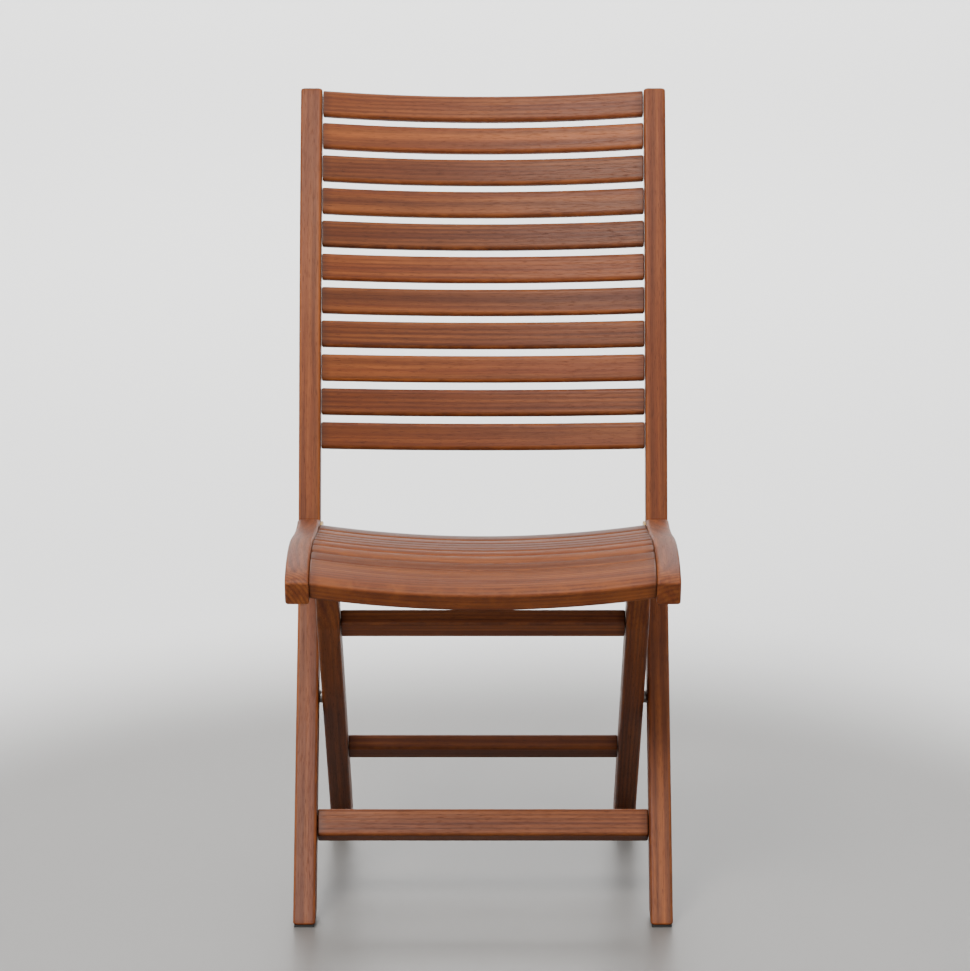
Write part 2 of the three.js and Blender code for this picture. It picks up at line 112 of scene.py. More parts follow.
class ChairSlatSettings(bpy.types.PropertyGroup):
    """Sizes of the slats and the seat rails."""
    back_gap: length("Back slat gap", 9, "Between back slats")
    back_thickness: length("Back slat thickness", 14, "Through the back slats")
    back_inset: length("Back slat inset", 5, "Behind the uprights' front face")
    back_hollow: length("Back hollow", 22, "Set-back of the back slats at the middle")
    back_edge: length("Back slat edge", 2.5, "From a slat's face to the highest line of its edge")
    seat_gap: length("Seat slat gap", 7, "Between seat slats")
    seat_thickness: length("Seat slat thickness", 11, "Through the seat slats")
    seat_dish: length("Seat dish", 14.5, "Sag of the seat slats at the middle")
    seat_crown: length("Seat slat crown", 1.6, "Fall of the seat slats' tops towards their edges")
    front_length: length("Front slat length", 50, "Front to rear of the front slat")
    front_gap: length("Front slat gap", 3, "Front slat to the next")
    front_face: length("Front slat face", 20, "Height of the front slat's rolled face")
    nose_rise: length("Nose rise", 20.3, "Height of the rails' rolled nose")
    nose_length: length("Nose length", 85, "Front edge to the rails' crown")
    undercut: length("Nose undercut", 14, "The nose slopes back by this much below its edge")
    nose_depth: length("Nose depth", 48, "Crown down to the rails' underside at the nose")
    rail_end: length("Rail end radius", 13.4, "Rails' rounded rear end")
    rail_taper: length("Rail taper", 80, "The rails' underside rises over this much before the hinge")
    rear_clear: length("Clear of the back", 20, "Last slat's rear edge to the hinge line")
    front_rear: length("Front slat rear", 15.4, "Thickness of the front slat at its rear edge")
    ease: length("Eased edge", 3.2, "Radius of the slats' long edges")


class ChairFinishSettings(bpy.types.PropertyGroup):
    """Colours of the finishes."""
    dark: colour("Dark grain", (0.024, 0.0052, 0.0012, 1), "Late wood and pores")
    middle: colour("Middle grain", (0.118, 0.026, 0.0052, 1), "Most of the wood")
    light: colour("Light grain", (0.245, 0.069, 0.0140, 1), "Early wood and worn edges")
    steel: colour("Zinc", (0.42, 0.41, 0.39, 1), "Plated steel")
    brass: colour("Brass", (0.48, 0.31, 0.12, 1), "Dulled brass")
    rubber: colour("Glide", (0.018, 0.017, 0.016, 1), "Plastic glides")
    # Colour of the floor round the chair: a painted pool of shade that fades into pale grey further off.
    floor: colour("Floor", (0.155, 0.148, 0.139, 1), "Plain studio floor")


def settings(kind):
    """The scene's settings of one kind: frame, slats or finish."""
    return getattr(bpy.context.scene, "chair_" + kind)


# ------------------------------------------------------------------ side-view geometry
def heading(degrees):
    """Unit (y, z) vectors that climb at so many degrees back from vertical."""
    a = np.radians(degrees)
    return np.stack([np.sin(a), np.cos(a)], axis=-1)


def behind(direction):
    """The unit vectors a quarter turn behind the given ones."""
    return np.stack([direction[..., 1], -direction[..., 0]], axis=-1)


def node_box(name):
    """Lowest and highest corner of a CAD node, as arrays."""
    low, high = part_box(name)
    return np.array(low), np.array(high)


class Upright:
    """The uprights' front face: its heading is a broken line of the distance walked from the foot,
    and its places are the running sum of that heading."""

    def __init__(self):
        s = settings("frame")
        low, high = node_box("left_upright")
        turn = np.radians(s.leg_lean - s.back_lean)
        tangent = s.knee_radius * np.tan(turn / 2)
        face = HINGE + behind(heading(s.back_lean)) * s.face_behind_hinge
        knee = face - heading(s.back_lean) * s.knee_below_hinge
        bend = knee - heading(s.leg_lean) * tangent
        leg = (bend[1] - low[2]) / np.cos(np.radians(s.leg_lean))
        curve_start = knee + heading(s.back_lean) * s.straight_back
        curve = (high[2] - curve_start[1]) / np.cos(np.radians((s.top_lean + s.back_lean) / 2))
        marks = np.cumsum([0, leg, s.knee_radius * turn, s.straight_back - tangent, curve])
        leans = [s.leg_lean, s.leg_lean, s.back_lean, s.back_lean, s.top_lean]
        self.total = marks[-1]
        knee_at = (marks[1] + marks[2]) / 2
        self.walk = np.linspace(0, self.total, 2401)
        self.lean = np.interp(self.walk, marks, leans)
        steps = heading((self.lean[1:] + self.lean[:-1]) / 2) * np.diff(self.walk)[:, None]
        start = bend - heading(s.leg_lean) * leg
        self.place = start + np.vstack([np.zeros(2), np.cumsum(steps, axis=0)])
        above = knee_at + s.knee_below_hinge + s.face_behind_hinge
        self.depth_marks = [0, knee_at, above, self.total]
        self.depths = [s.leg_depth, s.leg_depth, s.stile_depth, s.top_depth]

    def at(self, distance):
        """Front-face points and headings at distances along it."""
        point = np.stack([np.interp(distance, self.walk, self.place[:, i]) for i in (0, 1)], axis=-1)
        beyond = np.asarray(distance) - np.clip(distance, 0, self.total)
        way = heading(np.interp(distance, self.walk, self.lean))
        return point + way * beyond[..., None], way

    def depth(self, distance):
        """Depth of the upright at distances along its front face."""
        return np.interp(distance, self.depth_marks, self.depths)


def rail_top(y):
    """Height of the seat rails' top, y back from the seat's front edge: a quarter ellipse up to the
    crown, then half a cosine wave down to the rounded end."""
    s = settings("slats")
    crown = node_box("seat_rail_left")[1][2]
    rear = HINGE[1] + s.rail_end
    x = 1 - np.clip(y, 0, s.nose_length) / s.nose_length
    nose = crown - s.nose_rise * (1 - np.sqrt(np.clip(1 - x * x, 0, 1)))
    t = np.clip((y - s.nose_length) / (seat_length() - s.nose_length), 0, 1)
    return np.where(y < s.nose_length, nose, rear + (crown - rear) * (1 + np.cos(np.pi * t)) / 2)


def seat_front():
    """Place of the seat's front edge along Y."""
    return node_box("seat_rail_left")[0][1]


def seat_length():
    """Front edge of the seat to the hinge line."""
    return HINGE[0] - seat_front()


# ------------------------------------------------------------------ boards
def rounded_loop(corner_steps=5):
    """Points round a rounded rectangle, as (a, b, ca, cb): a point is (a (w - r) + ca r,
    b (h - r) + cb r) for half sizes w and h and corner radius r. Each side has support points near
    its corners, so that flats shade flat."""
    parts = []
    side = np.array([0.93, 0.45, 0.0, -0.45, -0.93])
    for quarter in range(4):
        a0 = quarter * np.pi / 2
        angle = a0 + np.linspace(0, np.pi / 2, corner_steps)
        sign = np.sign(np.cos(a0 + np.pi / 4)), np.sign(np.sin(a0 + np.pi / 4))
        corner = np.stack([np.full(corner_steps, sign[0]), np.full(corner_steps, sign[1]),
                           np.cos(angle), np.sin(angle)], axis=1)
        end = a0 + np.pi / 2
        flat = np.zeros((len(side), 4))
        flat[:, 2], flat[:, 3] = np.cos(end), np.sin(end)
        if quarter % 2 == 0:
            flat[:, 0], flat[:, 1] = side * sign[0], sign[1]
        else:
            flat[:, 0], flat[:, 1] = sign[0], side * sign[1]
        parts += [corner, flat]
    loop = np.concatenate(parts)
    return loop, np.abs(loop[:, 2] * loop[:, 3]) > 1e-6


def end_stations(total, ease, between):
    """Distances along a board, with stations that follow a quarter circle at each end, and how far
    the section is drawn in there."""
    arc = np.linspace(0, np.pi / 2, 5)
    start = ease * (1 - np.cos(arc))
    middle = np.linspace(ease, total - ease, between + 2)[1:-1]
    stations = np.concatenate([start, middle, (total - start)[::-1]])
    depth = np.minimum(np.minimum(stations, total - stations), ease)
    return stations, ease - np.sqrt(np.clip(ease ** 2 - (ease - depth) ** 2, 0, None))


def board_mesh(name, rings, grain, edge, seam, material, tone=1.0, seed=0):
    """A closed mesh from rings of points. rings is stations x points x 3. grain holds each point's
    place in the timber, along, across and through. The piece's own draw of the timber, its tone, and
    masks of its edges and ends are kept as attributes."""
    count, around = rings.shape[:2]
    draw = np.random.default_rng(seed)
    shift = np.array([draw.uniform(0, 40), draw.uniform(0.03, 0.11), draw.uniform(-0.05, 0.05)])
    i, j = np.meshgrid(np.arange(count - 1), np.arange(around), indexing="ij")
    k = (j + 1) % around
    quads = np.stack([i * around + j, i * around + k, (i + 1) * around + k, (i + 1) * around + j],
                     axis=-1).reshape(-1, 4)
    points = rings.reshape(-1, 3)
    centre = points.mean(axis=0)
    a, b, c, d = (points[quads[:, n]] - centre for n in range(4))
    volume = np.einsum("ij,ij->i", a, np.cross(b, c) + np.cross(c, d)).sum()
    caps = [np.arange(around)[::-1], (count - 1) * around + np.arange(around)]
    if volume < 0:
        quads = quads[:, ::-1]
        caps = [cap[::-1] for cap in caps]
    mesh = bpy.data.meshes.new(name)
    mesh.from_pydata(points.tolist(), [], quads.tolist() + [cap.tolist() for cap in caps])
    mesh.shade_smooth()
    field = mesh.attributes.new("grain", "FLOAT_VECTOR", "POINT")
    field.data.foreach_set("vector", (grain.reshape(-1, 3) + shift).astype(np.float32).ravel())
    marks = np.stack([edge.ravel(), seam.ravel(), np.full(edge.size, tone)], axis=1)
    field = mesh.attributes.new("marks", "FLOAT_VECTOR", "POINT")
    field.data.foreach_set("vector", marks.astype(np.float32).ravel())
    mesh.materials.append(material)
    piece = bpy.data.objects.new(name, mesh)
    bpy.context.scene.collection.objects.link(piece)
    return piece


def place(piece, node):
    """Puts a finished piece in the place of its CAD node."""
    body = next(b for b, names in frame["record"]["behaviour"]["bodies"].items() if node in names)
    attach(piece, body)
    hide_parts(node)
    return piece


def side_board(name, node, centre, across, half_depth, half_width, middle_x, ease, stations, drawn,
               seed, tone=1.0, slant=None):
    """A board whose length lies in the side view: at each station the section spans across
    (a (y, z) direction) by half_depth and the chair's width by half_width. slant moves a point
    along the board in proportion to its depth, for a foot that is cut level."""
    loop, corner = rounded_loop()
    r = np.minimum(ease, half_depth * 0.98)[:, None]
    hd = np.maximum(half_depth - drawn, SLIVER)[:, None]
    hw = (half_width - drawn)[:, None]
    r = np.minimum(r, np.minimum(hd, hw))
    p = loop[:, 0] * (hd - r) + loop[:, 2] * r
    q = loop[:, 1] * (hw - r) + loop[:, 3] * r
    side = centre[:, None, :] + across[:, None, :] * p[..., None]
    if slant is not None:
        side = side + slant(p)
    rings = np.concatenate([(middle_x + q)[..., None], side], axis=-1)
    along = np.broadcast_to(stations[:, None], p.shape)
    grain = np.stack([along, p, q], axis=-1)
    edge = np.maximum(np.broadcast_to(corner, p.shape) * 1.0, (drawn > 0)[:, None] * 1.0)
    seam = np.zeros_like(p)
    material = timber()
    return place(board_mesh(name, rings, grain, edge, seam, material, tone, seed), node)


def cross_board(name, node, outline, normal_edge, half_span, bend, seed, tone=1.0, between=40,
                ease=2 * MM):
    """A board that runs across the chair: a closed side-view outline, carried from side to side and
    moved by bend, a (y, z) shift for each x. The outline is drawn in a little at the two ends."""
    stations, drawn = end_stations(2 * half_span, ease, between)
    x = stations - half_span
    middle = outline.mean(axis=0)
    reach = np.abs(outline - middle).max(axis=0)
    shrink = 1 - drawn[:, None, None] / reach
    side = middle + (outline - middle)[None] * shrink + bend(x)[:, None, :]
    rings = np.concatenate([np.broadcast_to(x[:, None, None], side.shape[:2] + (1,)), side], axis=-1)
    local = outline - middle
    grain = np.concatenate([np.broadcast_to(x[:, None, None], side.shape[:2] + (1,)),
                            np.broadcast_to(local[None], side.shape)], axis=-1)
    edge = np.broadcast_to(normal_edge * 1.0, side.shape[:2])
    seam = np.exp(-np.minimum(stations, 2 * half_span - stations) / (3.5 * MM))[:, None]
    seam = np.broadcast_to(seam, side.shape[:2])
    piece = board_mesh(name, rings, grain, edge, seam, timber(), tone, seed)
    return place(piece, node)


def section_outline(centre, way, height, thickness, ease, crown=0.0):
    """Outline of a board's section: a rounded rectangle, height along way and thickness behind. Its
    front face falls away from the middle line by a parabola, crown deep at the edges."""
    loop, corner = rounded_loop()
    p = loop[:, 0] * (height / 2 - ease) + loop[:, 2] * ease
    q = loop[:, 1] * (thickness / 2 - ease) + loop[:, 3] * ease
    q = q + crown * (2 * p / height) ** 2 * np.clip(0.5 - q / thickness, 0, 1)
    return centre + p[:, None] * way + q[:, None] * behind(way), corner


def turned(node, profile, finish):
    """A turned piece on its CAD node's axis: the profile's (radius, x) pairs go round a full turn.
    Radii may be arrays of one value for each of the ROUND directions, for a hexagon."""
    low, high = node_box(node)
    middle = (low[1:] + high[1:]) / 2
    angle = np.linspace(0, 2 * np.pi, ROUND, endpoint=False)
    rings = []
    for radius, x in profile:
        reach = np.broadcast_to(radius, angle.shape)
        rings.append(np.stack([np.full(ROUND, x), middle[0] + reach * np.cos(angle),
                               middle[1] + reach * np.sin(angle)], axis=1))
    rings = np.array(rings)
    blank = np.zeros(rings.shape[:2])
    piece = board_mesh(f"{node}_turned", rings, rings, blank, blank, finish)
    return place(piece, node)


def hexagon(across_flats):
    """Radii of a hexagon, one for each of the ROUND directions."""
    turn = (np.linspace(0, 2 * np.pi, ROUND, endpoint=False) + np.pi / 6) % (np.pi / 3) - np.pi / 6
    return across_flats / 2 / np.cos(turn)


# ------------------------------------------------------------------ shader groups
def group(name, inputs, outputs):
    """A new shader node group with named sockets, and its input and output nodes."""
    tree = bpy.data.node_groups.new(name, "ShaderNodeTree")
    for title, kind, value in inputs:
        socket = tree.interface.new_socket(name=title, in_out="INPUT", socket_type="NodeSocket" + kind)
        if value is not None:
            socket.default_value = value
    for title, kind in outputs:
        tree.interface.new_socket(name=title, in_out="OUTPUT", socket_type="NodeSocket" + kind)
    return tree, tree.nodes.new("NodeGroupInput"), tree.nodes.new("NodeGroupOutput")


class Wiring:
    """Short calls for adding and joining nodes in one tree."""

    def __init__(self, tree):
        self.tree = tree

    def put(self, value, socket):
        """Links a socket to a socket, or sets a socket's value."""
        if isinstance(value, bpy.types.NodeSocket):
            self.tree.links.new(value, socket)
        else:
            socket.default_value = value

    def node(self, kind, **values):
        """A new node, with its sockets filled by name."""
        made = self.tree.nodes.new("ShaderNode" + kind)
        for key, value in values.items():
            self.put(value, made.inputs[key.replace("_", " ")])
        return made

    def math(self, operation, a, b=0.0, c=0.0, clamp=False):
        """One sum of up to three values."""
        made = self.tree.nodes.new("ShaderNodeMath")
        made.operation, made.use_clamp = operation, clamp
        for value, socket in zip((a, b, c), made.inputs):
            self.put(value, socket)
        return made.outputs[0]

    def vector(self, operation, a, b):
        """One sum of vectors."""
        made = self.tree.nodes.new("ShaderNodeVectorMath")
        made.operation = operation
        self.put(a, made.inputs[0])
        self.put(b, made.inputs[1])
        return made.outputs["Value"] if operation == "LENGTH" else made.outputs[0]

    def mix(self, factor, a, b, blend="MIX"):
        """One colour mixed into another."""
        made = self.tree.nodes.new("ShaderNodeMix")
        made.data_type, made.blend_type = "RGBA", blend
        self.put(factor, made.inputs[0])
        self.put(a, made.inputs[6])
        self.put(b, made.inputs[7])
        return made.outputs[2]

    def spread(self, value, low, high):
        """A value stretched so that low to high fills 0 to 1."""
        made = self.tree.nodes.new("ShaderNodeMapRange")
        made.interpolation_type = "SMOOTHSTEP"
        self.put(value, made.inputs["Value"])
        self.put(low, made.inputs["From Min"])
        self.put(high, made.inputs["From Max"])
        return made.outputs["Result"]

    def noise(self, vector, scale, detail=3.0, roughness=0.55, distortion=0.0):
        """A noise texture's value."""
        made = self.node("TexNoise", Vector=vector, Scale=scale, Detail=detail, Roughness=roughness,
                         Distortion=distortion)
        return made.outputs["Fac"]


def grain_group():
    """Timber from a place in it (along, across, through, in metres): growth rings as waves of the
    distance from a wandering pith, broad streaks and fine fibres as noise drawn out along the
    grain, and short dark pores."""
    known = bpy.data.node_groups.get("Timber grain")
    if known:
        return known
    tree, start, end = group("Timber grain", [
        ("Grain", "Vector", None), ("Ring spacing", "Float", 0.0045), ("Wander", "Float", 0.006),
    ], [("Rings", "Float"), ("Streaks", "Float"), ("Fibres", "Float"), ("Pores", "Float"),
        ("Patches", "Float")])
    w = Wiring(tree)
    grain = start.outputs["Grain"]
    slow = w.vector("MULTIPLY", grain, (2.2, 14.0, 14.0))
    wander = w.node("TexNoise", Vector=slow, Scale=1.0, Detail=2.0)
    moved = w.vector("SUBTRACT", wander.outputs["Color"], (0.5, 0.5, 0.5))
    scale = w.node("CombineXYZ", X=0.0, Y=start.outputs["Wander"], Z=start.outputs["Wander"])
    bent = w.vector("ADD", grain, w.vector("MULTIPLY", moved, scale.outputs[0]))
    flat = w.vector("MULTIPLY", bent, (0.0, 1.0, 1.0))
    radius = w.vector("LENGTH", flat, (0.0, 0.0, 0.0))
    turns = w.math("DIVIDE", radius, start.outputs["Ring spacing"])
    wave = w.math("SINE", w.math("MULTIPLY", turns, 6.2832))
    rings = w.math("POWER", w.math("MULTIPLY_ADD", wave, 0.5, 0.5), 1.6)
    streaks = w.noise(w.vector("MULTIPLY", bent, (1.6, 120.0, 120.0)), 1.0, 4.0, 0.6)
    fibres = w.noise(w.vector("MULTIPLY", bent, (14.0, 1300.0, 1300.0)), 1.0, 3.0, 0.6)
    pores = w.noise(w.vector("MULTIPLY", bent, (85.0, 2100.0, 2100.0)), 1.0, 1.0, 0.4)
    patches = w.noise(w.vector("MULTIPLY", grain, (5.0, 16.0, 16.0)), 1.0, 2.0, 0.5)
    for title, value in (("Rings", rings), ("Streaks", streaks), ("Fibres", fibres),
                         ("Pores", w.spread(pores, 0.60, 0.70)), ("Patches", patches)):
        w.put(value, end.inputs[title])
    return tree


def wear_group():
    """Where a finish is rubbed: an edge mask broken up by patchy noise, and dirt held in seams."""
    known = bpy.data.node_groups.get("Rubbed edges")
    if known:
        return known
    tree, start, end = group("Rubbed edges", [
        ("Place", "Vector", None), ("Edge", "Float", 0.0), ("Seam", "Float", 0.0),
        ("Amount", "Float", 0.6),
    ], [("Worn", "Float"), ("Dirt", "Float")])
    w = Wiring(tree)
    patch = w.spread(w.noise(start.outputs["Place"], 38.0, 4.0, 0.65), 0.40, 0.66)
    worn = w.math("MULTIPLY", w.math("MULTIPLY", start.outputs["Edge"], patch),
                  start.outputs["Amount"])
    grime = w.spread(w.noise(start.outputs["Place"], 22.0, 3.0, 0.6), 0.35, 0.75)
    dirt = w.math("MAXIMUM", start.outputs["Seam"], w.math("MULTIPLY", grime, 0.12))
    w.put(worn, end.inputs["Worn"])
    w.put(dirt, end.inputs["Dirt"])
    return tree


def scuff_group():
    """Fine scratches and smudges for metal and plastic, from object places."""
    known = bpy.data.node_groups.get("Scuffs")
    if known:
        return known
    tree, start, end = group("Scuffs", [("Place", "Vector", None), ("Scale", "Float", 60.0)],
                             [("Scratches", "Float"), ("Smudges", "Float")])
    w = Wiring(tree)
    drawn = w.vector("MULTIPLY", start.outputs["Place"], (1.0, 14.0, 1.5))
    fine = w.noise(drawn, w.math("MULTIPLY", start.outputs["Scale"], 9.0), 3.0, 0.7)
    w.put(w.spread(fine, 0.42, 0.72), end.inputs["Scratches"])
    w.put(w.noise(start.outputs["Place"], start.outputs["Scale"], 3.0, 0.6), end.inputs["Smudges"])
    return tree


def material_of(name):
    """A node material, with its wiring and shader if it is new, or None for both if it was there."""
    known = bpy.data.materials.get(name)
    if known:
        return known, None, None
    made = bpy.data.materials.new(name)
    made.use_nodes = True
    return made, Wiring(made.node_tree), made.node_tree.nodes["Principled BSDF"]


def use_group(w, tree):
    """A node group placed in a material."""
    made = w.tree.nodes.new("ShaderNodeGroup")
    made.node_tree = tree
    return made


def timber():
    """Oiled reddish-brown timber, satin, with worn lighter edges and darker seams."""
    made, w, shader = material_of("oiled_timber")
    if w is None:
        return made
    s = settings("finish")
    place_in = w.node("Attribute")
    place_in.attribute_name = "grain"
    marks = w.node("Attribute")
    marks.attribute_name = "marks"
    split = w.node("SeparateXYZ", Vector=marks.outputs["Vector"])
    edge, seam, tone = split.outputs[0], split.outputs[1], split.outputs[2]
    grain = use_group(w, grain_group())
    w.put(place_in.outputs["Vector"], grain.inputs["Grain"])
    wear = use_group(w, wear_group())
    w.put(place_in.outputs["Vector"], wear.inputs["Place"])
    w.put(edge, wear.inputs["Edge"])
    w.put(seam, wear.inputs["Seam"])
    streak = w.spread(grain.outputs["Streaks"], 0.30, 0.72)
    base = w.mix(streak, tuple(s.middle), tuple(s.light))
    base = w.mix(w.math("MULTIPLY", grain.outputs["Rings"], 0.42), base, tuple(s.dark))
    patch = w.spread(grain.outputs["Patches"], 0.38, 0.70)
    base = w.mix(w.math("MULTIPLY", patch, 0.45), base, tuple(s.middle))
    fibre = w.spread(grain.outputs["Fibres"], 0.38, 0.70)
    base = w.mix(w.math("MULTIPLY", fibre, 0.30), base, tuple(s.dark))
    base = w.mix(w.math("MULTIPLY", grain.outputs["Pores"], 0.55), base, tuple(s.dark))
    grey = w.node("CombineXYZ", X=tone, Y=tone, Z=tone)
    base = w.mix(1.0, base, grey.outputs[0], "MULTIPLY")
    base = w.mix(w.math("MULTIPLY", wear.outputs["Worn"], 0.65), base, tuple(s.light))
    base = w.mix(w.math("MULTIPLY", wear.outputs["Dirt"], 0.7), base, tuple(s.dark))
    w.put(base, shader.inputs["Base Color"])
    rough = w.math("ADD", w.math("MULTIPLY", grain.outputs["Fibres"], 0.22), 0.38)
    rough = w.math("ADD", rough, w.math("MULTIPLY", wear.outputs["Worn"], 0.14))
    w.put(w.math("ADD", rough, w.math("MULTIPLY", grain.outputs["Pores"], 0.1), clamp=True),
          shader.inputs["Roughness"])
    height = w.math("SUBTRACT", w.math("MULTIPLY", grain.outputs["Fibres"], 0.5),
                    w.math("MULTIPLY", grain.outputs["Pores"], 0.6))
    height = w.math("SUBTRACT", height, w.math("MULTIPLY", grain.outputs["Rings"], 0.25))
    bump = w.node("Bump", Strength=0.35, Distance=0.0004, Height=height)
    w.put(bump.outputs["Normal"], shader.inputs["Normal"])
    shader.inputs["Specular IOR Level"].default_value = 0.26
    return made


def end_grain():
    """Dark end grain of the plugs, from object places."""
    made, w, shader = material_of("plug_timber")
    if w is None:
        return made
    s = settings("finish")
    where = w.node("TexCoord").outputs["Object"]
    rings = w.noise(where, 900.0, 2.0, 0.5)
    pores = w.spread(w.noise(where, 2600.0, 1.0, 0.4), 0.55, 0.68)
    base = w.mix(w.spread(rings, 0.35, 0.7), tuple(s.dark), tuple(s.middle))
    w.put(w.mix(w.math("MULTIPLY", pores, 0.7), base, tuple(s.dark)), shader.inputs["Base Color"])
    w.put(w.math("ADD", w.math("MULTIPLY", rings, 0.2), 0.45), shader.inputs["Roughness"])
    bump = w.node("Bump", Strength=0.3, Distance=0.0002, Height=pores)
    w.put(bump.outputs["Normal"], shader.inputs["Normal"])
    return made


def hard_finish(name, tint, roughness, metallic, smudge=0.16):
    """Metal or plastic with scratches and smudges in its roughness, colour and surface."""
    made, w, shader = material_of(name)
    if w is None:
        return made
    scuffs = use_group(w, scuff_group())
    w.put(w.node("TexCoord").outputs["Object"], scuffs.inputs["Place"])
    darker = tuple(c * 0.45 for c in tint[:3]) + (1,)
    shade = w.math("MULTIPLY", w.spread(scuffs.outputs["Smudges"], 0.4, 0.75), 0.6)
    w.put(w.mix(shade, tuple(tint), darker), shader.inputs["Base Color"])
    scratched = w.math("MULTIPLY", scuffs.outputs["Scratches"], smudge)
    smudged = w.math("MULTIPLY_ADD", scuffs.outputs["Smudges"], smudge, roughness - smudge / 2)
    w.put(w.math("ADD", scratched, smudged, clamp=True), shader.inputs["Roughness"])
    shader.inputs["Metallic"].default_value = metallic
    bump = w.node("Bump", Strength=0.12, Distance=0.0001, Height=scuffs.outputs["Scratches"])
    w.put(bump.outputs["Normal"], shader.inputs["Normal"])
    return made


# ------------------------------------------------------------------ operators
class ChairOperator:
    """What the chair's operators share."""
    bl_options = {"REGISTER", "UNDO"}


def tone_of(seed, spread=0.27):
    """A board's own lightness, near 1."""
    return float(1 + np.random.default_rng(seed + 500).uniform(-spread, spread))


class CHAIR_OT_uprights(ChairOperator, bpy.types.Operator):
    """The two cranked uprights, from the front feet to the top of the back"""
    bl_idname = "chair.uprights"
    bl_label = "Uprights"

    def execute(self, context):
        s = settings("frame")
        upright = Upright()
        stations, drawn = end_stations(upright.total, s.ease, 150)
        face, way = upright.at(stations)
        depth = upright.depth(stations)
        centre = face + behind(way) * depth[:, None] / 2
        fade = np.clip(1 - stations / 0.2, 0, 1)[:, None]
        slope = np.tan(np.radians(s.leg_lean))

        def level_foot(p):
            """Slides the foot's points along the leg until its cut is level."""
            slide = (p + depth[:, None] / 2) * slope * fade
            return way[:, None, :] * slide[..., None]

        for seed, name in enumerate(SIDES):
            low, high = node_box(f"{name}_upright")
            side_board(f"upright_{name}_board", f"{name}_upright", centre, behind(way), depth / 2,
                       (high[0] - low[0]) / 2 - s.sanded, (high[0] + low[0]) / 2, s.ease, stations,
                       drawn, 11 + seed, 1.12, level_foot)
        return {"FINISHED"}


class CHAIR_OT_back_slats(ChairOperator, bpy.types.Operator):
    """The curved slats between the uprights"""
    bl_idname = "chair.back_slats"
    bl_label = "Back slats"

    def execute(self, context):
        s = settings("slats")
        upright = Upright()
        names = sorted((n for n in frame["nodes"] if n.startswith("back_slat_")),
                       key=lambda n: int(n.split("_")[-1]))
        tops = [self.top_edge(upright, node_box(node)[1][2]) for node in names]
        height = (tops[0] - tops[-1]) / (len(tops) - 1) - s.back_gap
        for seed, (node, top) in enumerate(zip(names, tops)):
            low, high = node_box(node)
            half = (high[0] - low[0]) / 2
            face, way = upright.at(top - height / 2)
            centre = face + behind(way) * (s.back_inset + s.back_thickness / 2)
            outline, corner = section_outline(centre, way, height, s.back_thickness, s.ease * 1.5)
            hollow = behind(way) * s.back_hollow

            def bend(x, hollow=hollow, half=half):
                """Set back by a parabola, most at the middle."""
                return (1 - (x / half) ** 2)[:, None] * hollow

            cross_board(f"{node}_board", node, outline, corner, half, bend, 31 + seed,
                        tone_of(seed))
        return {"FINISHED"}

    @staticmethod
    def top_edge(upright, highest):
        """Distance along the uprights to a slat's highest edge, which is its front one."""
        s = settings("slats")
        edge = upright.place + behind(heading(upright.lean)) * (s.back_inset + s.back_edge)
        return np.interp(highest, edge[:, 1], upright.walk)


class CHAIR_OT_stretchers(ChairOperator, bpy.types.Operator):
    """The front stretcher and the two rear ones"""
    bl_idname = "chair.stretchers"
    bl_label = "Stretchers"

    def execute(self, context):
        s = settings("frame")
        rear = rear_leg_way()
        for seed, (node, way, face, thickness, tone) in enumerate([
            ("front_stretcher", heading(s.leg_lean), s.stretcher_face, s.stretcher_thickness, 1.05),
            ("rear_upper_stretcher", rear, s.upper_face, s.rear_stretcher_thickness, 0.9),
            ("rear_lower_stretcher", rear, s.lower_face, s.rear_stretcher_thickness, 0.95),
        ]):
            low, high = node_box(node)
            centre = (low[1:] + high[1:]) / 2
            outline, corner = section_outline(centre, way, face, thickness, s.ease)
            cross_board(f"{node}_board", node, outline, corner, high[0],
                        lambda x: np.zeros((len(x), 2)), 61 + seed, tone)
        return {"FINISHED"}


def slide_pin():
    """Side-view place of the slide pins."""
    low, high = node_box("slide_pin_right")
    return (low[1:] + high[1:]) / 2


def rear_leg_way():
    """Heading of the rear legs, from the pivot to their tops."""
    s = settings("frame")
    reach = slide_pin() - PIVOT
    aside = s.rear_leg_depth / 2 - s.rear_tip
    angle = np.arctan2(reach[1], reach[0]) + np.arcsin(aside / np.hypot(*reach))
    return np.array([np.cos(angle), np.sin(angle)])


